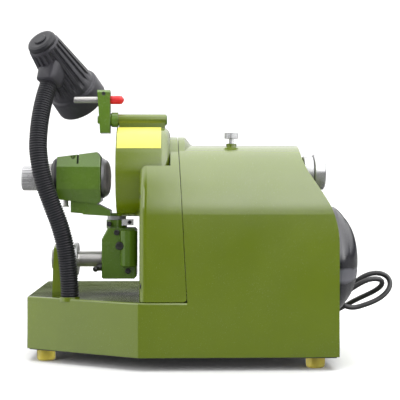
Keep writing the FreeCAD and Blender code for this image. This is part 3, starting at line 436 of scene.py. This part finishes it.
def lamp_socket():
    """Squarish collar that carries the lamp on the end of its hose."""
    axis = Vector((0.24, 0.36, 0.9)).normalized()
    side = axis.cross(AIM).normalized()
    out = side.cross(axis)
    foot = at(-191.2, 4.2, 348.6)
    rings = []
    for along, half in ((0, 11.6), (0.8, 13.0), (2, 13.6), (8, 14.2), (24, 16), (28, 16), (30, 15)):
        ring = []
        for k in range(SOCKET_SIDES):
            angle = 2 * math.pi * k / SOCKET_SIDES
            c, s = math.cos(angle), math.sin(angle)
            swell = (abs(c) ** 4 + abs(s) ** 4) ** -0.25
            ring.append(foot + axis * along * MM + (side * c + out * s) * half * swell * MM)
        rings.append(ring)
    new_piece("lamp_socket", *skin(rings), "grey_plastic", "lamp_head")


lamp_socket()

# ------------------------------------------------------------------ stage


FLOOR_BACK = 1.2            # where the floor starts to curve up
SWEEP_R = 0.8
SWEEP_STEPS = 12
FLOOR_HALF_WIDTH = 4


def sweep_floor():
    """A pale floor that curves up into a backdrop."""
    profile = [(-3.0, 0.0), (FLOOR_BACK, 0.0)]
    for step in range(1, SWEEP_STEPS + 1):
        angle = math.pi / 2 * step / SWEEP_STEPS
        profile.append((FLOOR_BACK + SWEEP_R * math.sin(angle), SWEEP_R - SWEEP_R * math.cos(angle)))
    profile.append((FLOOR_BACK + SWEEP_R, 4.0))
    mesh = bpy.data.meshes.new("floor")
    points = [(x, y, z) for y, z in profile for x in (-FLOOR_HALF_WIDTH, FLOOR_HALF_WIDTH)]
    faces = [(2 * i, 2 * i + 1, 2 * i + 3, 2 * i + 2) for i in range(len(profile) - 1)]
    mesh.from_pydata(points, [], faces)
    for polygon in mesh.polygons:
        polygon.use_smooth = True
    obj = bpy.data.objects.new("floor", mesh)
    bpy.context.scene.collection.objects.link(obj)
    n = Nodes("floor_paper")
    n.set(Base_Color=(0.93, 0.93, 0.93), Roughness=0.7)
    obj.data.materials.append(n.mat)
    obj.location = SHIFT
    obj.visible_glossy = False


sweep_floor()


def lamp_light(name, place, target, width, height, power):
    """A rectangular light at one place, facing another."""
    data = bpy.data.lights.new(name, "AREA")
    data.shape = "RECTANGLE"
    data.size = width
    data.size_y = height
    data.energy = power
    obj = bpy.data.objects.new(name, data)
    bpy.context.scene.collection.objects.link(obj)
    obj.location = Vector(place) + SHIFT
    obj.rotation_euler = (Vector(target) - Vector(place)).to_track_quat("-Z", "Y").to_euler()
    return obj


SOFTBOX = 5.0               # brightest light that reflections see
SIDE_WINDOW = 1.3           # brightness of the window at the far left
WINDOW_EDGES = (-0.72, -0.9)
SIDE_CHANGE = (-0.04, 0.02)  # sideways directions between which the left sky gives way to the right


def studio_world(brightness, sky, sky_left):
    """White all round; reflections see a dark horizon with a broad softbox above it."""
    world = bpy.data.worlds.new("studio")
    world.use_nodes = True
    nodes = world.node_tree.nodes
    link = world.node_tree.links.new
    nodes.clear()

    def maths(kind, a, b, c=0.5):
        node = nodes.new("ShaderNodeMath")
        node.operation = kind
        for socket, value in zip(node.inputs, (a, b, c)):
            if isinstance(value, bpy.types.NodeSocket):
                link(value, socket)
            else:
                socket.default_value = value
        return node.outputs[0]

    coords = nodes.new("ShaderNodeTexCoord")
    split = nodes.new("ShaderNodeSeparateXYZ")
    link(coords.outputs["Generated"], split.inputs[0])
    turn = maths("ARCTAN2", split.outputs["Z"], maths("MULTIPLY", split.outputs["Y"], -1.0))
    share = maths("MULTIPLY_ADD", turn, 0.5 / math.pi)

    def brightness_ramp(sky):
        ramp = nodes.new("ShaderNodeValToRGB")
        link(share, ramp.inputs[0])
        stops = ramp.color_ramp.elements
        while len(stops) < len(sky):
            stops.new(0.5)
        for stop, (place, value) in zip(stops, sky):
            level = value / SOFTBOX
            stop.position = place / 360 + 0.5
            stop.color = (level, level, level, 1)
        return ramp.outputs[0]

    def across(low, high, top):
        """Nought to top as a reflection swings from one sideways direction to another."""
        node = nodes.new("ShaderNodeMapRange")
        node.inputs[1].default_value = low
        node.inputs[2].default_value = high
        node.inputs[4].default_value = top
        link(split.outputs["X"], node.inputs[0])
        return node.outputs[0]

    lit = nodes.new("ShaderNodeMix")
    lit.data_type = "RGBA"
    link(across(*SIDE_CHANGE, 1.0), lit.inputs[0])
    link(brightness_ramp(sky_left), lit.inputs[6])
    link(brightness_ramp(sky), lit.inputs[7])
    window = across(*WINDOW_EDGES, SIDE_WINDOW / SOFTBOX)
    path = nodes.new("ShaderNodeLightPath")
    mirrored = nodes.new("ShaderNodeBackground")
    link(maths("MAXIMUM", lit.outputs[2], window), mirrored.inputs[0])
    mirrored.inputs[1].default_value = SOFTBOX
    plain = nodes.new("ShaderNodeBackground")
    plain.inputs[0].default_value = (1, 1, 1, 1)
    plain.inputs[1].default_value = brightness
    mix = nodes.new("ShaderNodeMixShader")
    link(path.outputs["Is Glossy Ray"], mix.inputs[0])
    link(plain.outputs[0], mix.inputs[1])
    link(mirrored.outputs[0], mix.inputs[2])
    out = nodes.new("ShaderNodeOutputWorld")
    link(mix.outputs[0], out.inputs[0])
    bpy.context.scene.world = world


# Brightness met when turning, in degrees, from the camera's side of the room up over the top.
SKY = [
    (-180, 0.4), (-30, 0.4), (-7, 0.3), (-4, 0.12), (-3, 0.03), (-2, 0.04), (-1, 0.7), (4, 2.0),
    (12, 4.0), (18, 5.0), (60, 5.0), (90, 4.0), (130, 2.2), (160, 1.3), (168, 0.8), (171, 0.2),
    (174, 0.04), (180, 0.04)]
SKY_LEFT = [
    (-180, 0.3), (-30, 0.3), (-7, 0.2), (-3, 0.05), (50, 0.08), (80, 2.6), (120, 2.4), (160, 1.3),
    (168, 0.8), (171, 0.2), (174, 0.04), (180, 0.04)]
ROOM = 0.72                 # even light that falls on the object from all round
studio_world(ROOM, SKY, SKY_LEFT)
lamp_light("overhead", (0.1, 0.2, 1.6), (0, 0.05, 0.15), 1.8, 2.0, 40).visible_glossy = False
lamp_light("left_key", (-1.4, -1.1, 0.9), (0, 0, 0.15), 1.0, 1.0, 10)

YAW = math.radians(1.7)     # the camera stands this far round to the left of square on
DISTANCE = 1.264
EYE = 0.214                 # height of the camera above the bench
SENSOR = 36
LENS = 90
RISE = -0.025               # upright shift of the picture, as a share of its width
camera_data = bpy.data.cameras.new("camera")
camera_data.sensor_width = SENSOR
camera_data.lens = LENS
camera_data.shift_y = RISE
camera = bpy.data.objects.new("camera", camera_data)
bpy.context.scene.collection.objects.link(camera)
camera.location = Vector((-DISTANCE * math.sin(YAW), -DISTANCE * math.cos(YAW), EYE)) + SHIFT
camera.rotation_euler = (math.pi / 2, 0, -YAW)
bpy.context.scene.camera = camera
bpy.context.scene.view_settings.view_transform = "Standard"

bpy.context.view_layer.update()
